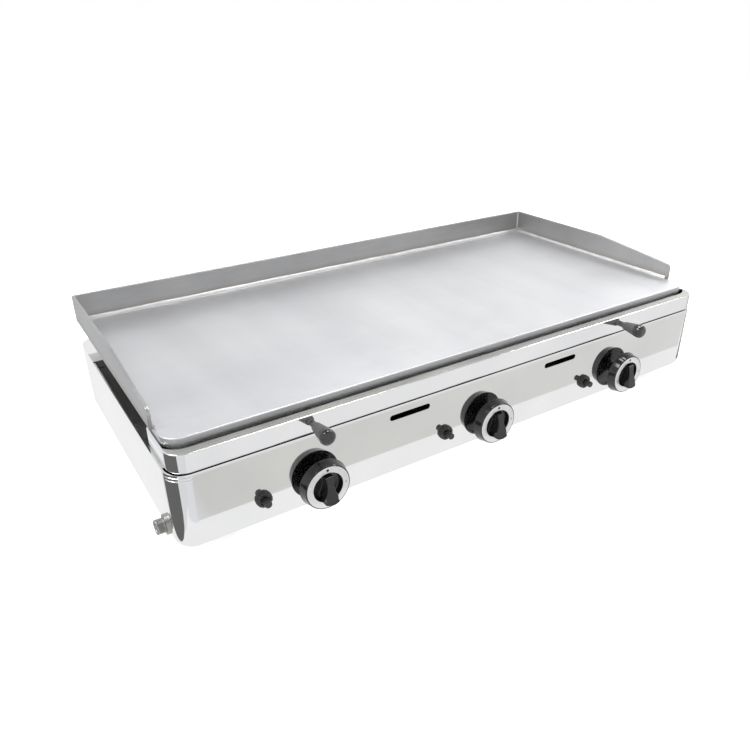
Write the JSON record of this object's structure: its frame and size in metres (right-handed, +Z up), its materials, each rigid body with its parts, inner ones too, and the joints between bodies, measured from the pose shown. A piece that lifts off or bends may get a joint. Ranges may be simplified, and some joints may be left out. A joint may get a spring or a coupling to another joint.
{
  "type": "flat top griddle",
  "caption": "Counter-top gas griddle: ground steel plate with welded splash guards on a polished steel casing, pull-out grease tray with black grips, push-and-turn knobs and igniter buttons.",
  "frame": {"origin": "centre of the footprint box, on the surface that the feet stand on", "axes": "+X to the right seen from the front, +Y to the back, +Z up; the grips and knobs point along -Y"},
  "size_m": [1.012, 0.539, 0.223],
  "materials": {
    "polished_steel": "mirror-polished stainless steel sheet",
    "sheet_steel": "plain stainless steel sheet",
    "plate_steel": "ground steel with a soft sheen",
    "splash_steel": "satin steel with weld beads at its foot",
    "fastener_steel": "turned bright steel",
    "pipe_steel": "drawn steel pipe",
    "burner_steel": "heat-tinted stainless tube",
    "brass": "machined brass",
    "copper": "drawn copper",
    "ceramic": "glazed white ceramic",
    "knob_plastic": "moulded black phenolic",
    "grip_plastic": "moulded black phenolic, polished end",
    "black_plastic": "moulded black plastic",
    "dial_metal": "satin silver dial ring",
    "foot_rubber": "moulded black rubber",
    "lead_rubber": "silicone rubber lead"
  },
  "bodies": {
    "casing": {"body_shell": "polished_steel", "rear_panel": "sheet_steel", "rear_top_cover": "polished_steel", "base_pan": "sheet_steel", "front_bulkhead": "sheet_steel", "rear_bulkhead": "sheet_steel", "tray_runners": "sheet_steel", "casing_screws": "fastener_steel", "foot_screws": "fastener_steel", "foot_front_left": "foot_rubber", "foot_front_right": "foot_rubber", "foot_back_left": "foot_rubber", "foot_back_right": "foot_rubber", "gas_manifold": "pipe_steel", "inlet_collar": "pipe_steel", "injectors": "brass", "thermocouples": "copper", "ignition_leads": "lead_rubber", "igniter_nuts": "black_plastic", "spark_electrodes": "ceramic", "gas_valve_1": "brass", "gas_valve_2": "brass", "gas_valve_3": "brass", "valve_spring_1": "fastener_steel", "valve_spring_2": "fastener_steel", "valve_spring_3": "fastener_steel", "burner_1": "burner_steel", "burner_2": "burner_steel", "burner_3": "burner_steel", "igniter_body_1": "black_plastic", "igniter_body_2": "black_plastic", "igniter_body_3": "black_plastic"},
    "plate": {"griddle_plate": "plate_steel", "plate_pins": "sheet_steel", "back_splash": "splash_steel", "left_splash": "splash_steel", "right_splash": "splash_steel"},
    "tray": {"tray_front": "polished_steel", "tray_apron": "sheet_steel", "tray_end_left": "polished_steel", "tray_end_right": "polished_steel", "tray_pan": "sheet_steel", "tray_grip_left": "grip_plastic", "tray_grip_right": "grip_plastic", "grip_studs": "fastener_steel"},
    "knob_push_1": {"spring_seat_1": "fastener_steel"},
    "knob_turn_1": {"valve_spindle_1": "fastener_steel", "knob_1": "knob_plastic", "dial_ring_1": "dial_metal"},
    "button_1": {"igniter_button_1": "black_plastic"},
    "knob_push_2": {"spring_seat_2": "fastener_steel"},
    "knob_turn_2": {"valve_spindle_2": "fastener_steel", "knob_2": "knob_plastic", "dial_ring_2": "dial_metal"},
    "button_2": {"igniter_button_2": "black_plastic"},
    "knob_push_3": {"spring_seat_3": "fastener_steel"},
    "knob_turn_3": {"valve_spindle_3": "fastener_steel", "knob_3": "knob_plastic", "dial_ring_3": "dial_metal"},
    "button_3": {"igniter_button_3": "black_plastic"}
  },
  "joints": [
    {"name": "plate_lift", "type": "slide", "parent": "casing", "child": "plate", "axis": [0, 0, 1], "range_m": [0, 0.06]},
    {"name": "tray_pull", "type": "slide", "parent": "casing", "child": "tray", "axis": [0, -1, 0], "range_m": [0, 0.1]},
    {"name": "knob_1_push", "type": "slide", "parent": "casing", "child": "knob_push_1", "axis": [0, 1, 0], "range_m": [0, 0.0035], "stiffness_N_per_m": 900, "springref_m": -0.004, "deforming": ["valve_spring_1"]},
    {"name": "knob_1_turn", "type": "hinge", "parent": "knob_push_1", "child": "knob_turn_1", "pos_m": [-0.291, -0.24305, 0.066], "axis": [0, -1, 0], "range_deg": [0, 180]},
    {"name": "igniter_1_press", "type": "slide", "parent": "casing", "child": "button_1", "axis": [0, 1, 0], "range_m": [0, 0.007], "stiffness_N_per_m": 900, "springref_m": -0.003},
    {"name": "knob_2_push", "type": "slide", "parent": "casing", "child": "knob_push_2", "axis": [0, 1, 0], "range_m": [0, 0.0035], "stiffness_N_per_m": 900, "springref_m": -0.004, "deforming": ["valve_spring_2"]},
    {"name": "knob_2_turn", "type": "hinge", "parent": "knob_push_2", "child": "knob_turn_2", "pos_m": [0.008, -0.24305, 0.066], "axis": [0, -1, 0], "range_deg": [0, 180]},
    {"name": "igniter_2_press", "type": "slide", "parent": "casing", "child": "button_2", "axis": [0, 1, 0], "range_m": [0, 0.007], "stiffness_N_per_m": 900, "springref_m": -0.003},
    {"name": "knob_3_push", "type": "slide", "parent": "casing", "child": "knob_push_3", "axis": [0, 1, 0], "range_m": [0, 0.0035], "stiffness_N_per_m": 900, "springref_m": -0.004, "deforming": ["valve_spring_3"]},
    {"name": "knob_3_turn", "type": "hinge", "parent": "knob_push_3", "child": "knob_turn_3", "pos_m": [0.307, -0.24305, 0.066], "axis": [0, -1, 0], "range_deg": [0, 180]},
    {"name": "igniter_3_press", "type": "slide", "parent": "casing", "child": "button_3", "axis": [0, 1, 0], "range_m": [0, 0.007], "stiffness_N_per_m": 900, "springref_m": -0.003}
  ]
}
